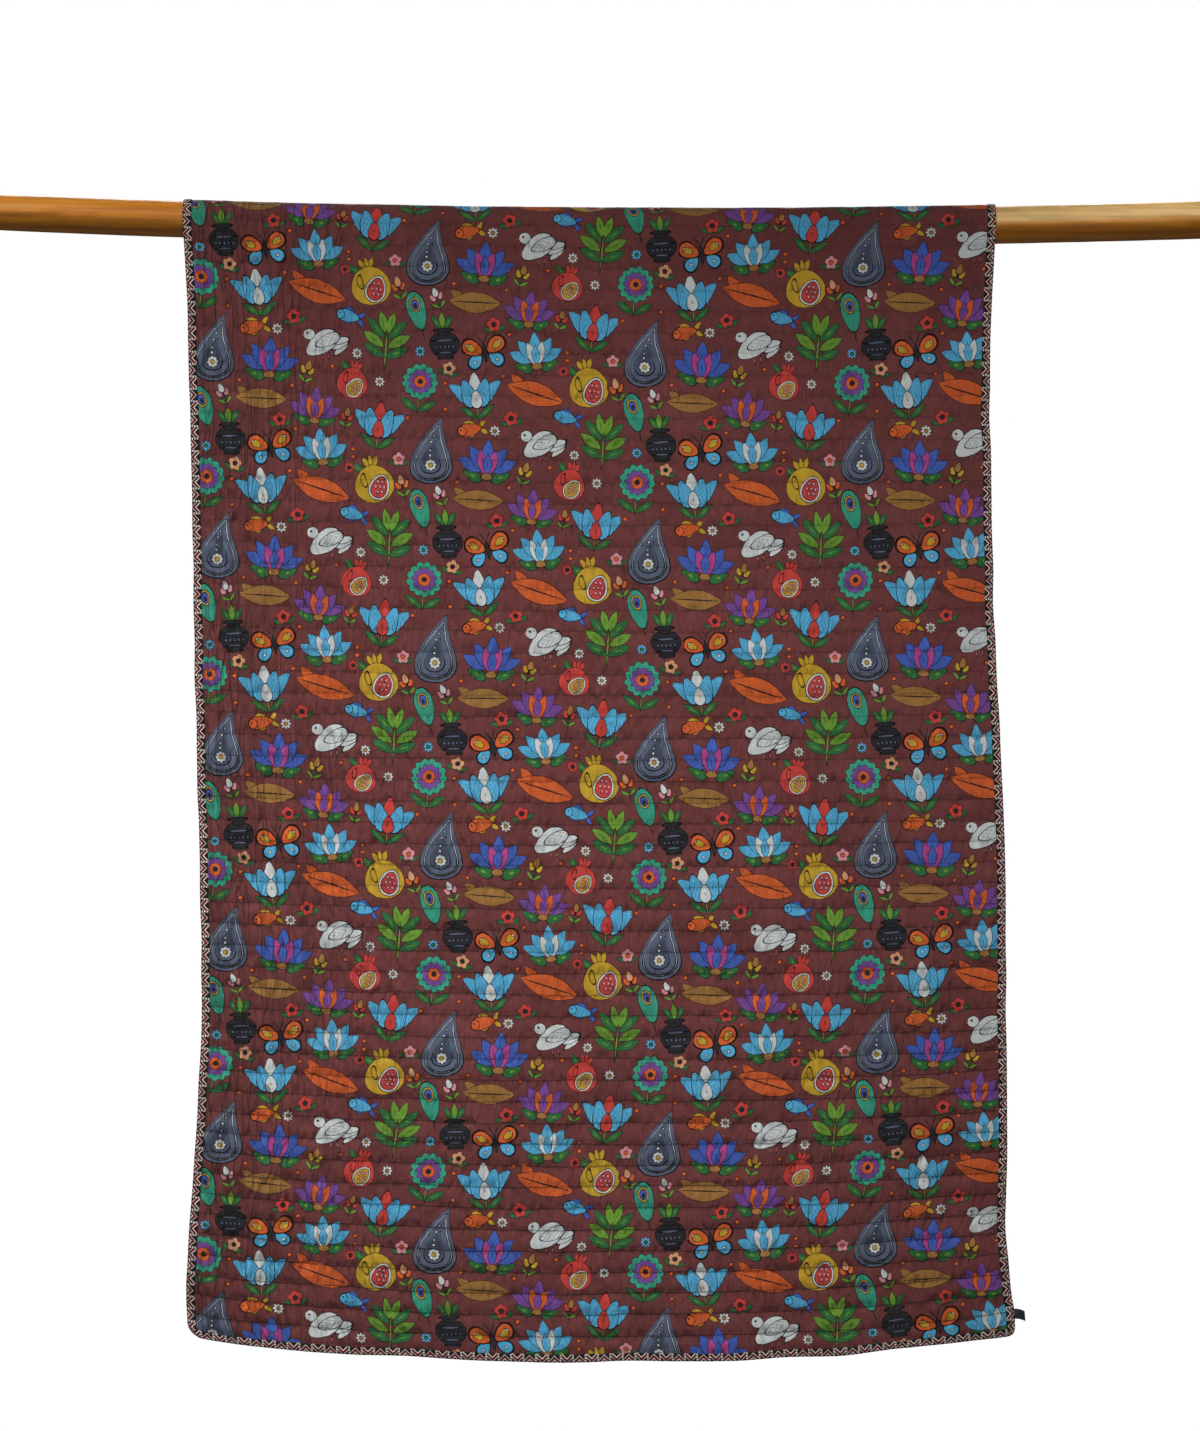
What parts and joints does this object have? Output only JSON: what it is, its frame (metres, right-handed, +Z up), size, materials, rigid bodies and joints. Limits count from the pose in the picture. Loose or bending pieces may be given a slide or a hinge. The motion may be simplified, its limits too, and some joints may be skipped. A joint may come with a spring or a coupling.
{
  "type": "quilted dohar on wooden pole",
  "caption": "Light summer quilt with straight cross quilting and a narrow bound edge, hanging over a round wooden pole with a short flap behind.",
  "frame": {"origin": "centre of the pole's left end face", "axes": "+X along the pole to its right end, +Y away from the viewer, from the quilt's front to its flap, +Z up"},
  "size_m": [2.4, 0.0886, 2.1804],
  "materials": {
    "quilt_cotton": "matte printed cotton",
    "binding_cotton": "matte printed cotton",
    "label_ribbon": "woven ribbon",
    "pole_wood": "smooth turned wood, thinly varnished"
  },
  "bodies": {
    "root": {"quilt": "quilt_cotton", "binding": "binding_cotton", "label": "label_ribbon", "pole": "pole_wood"}
  },
  "joints": []
}
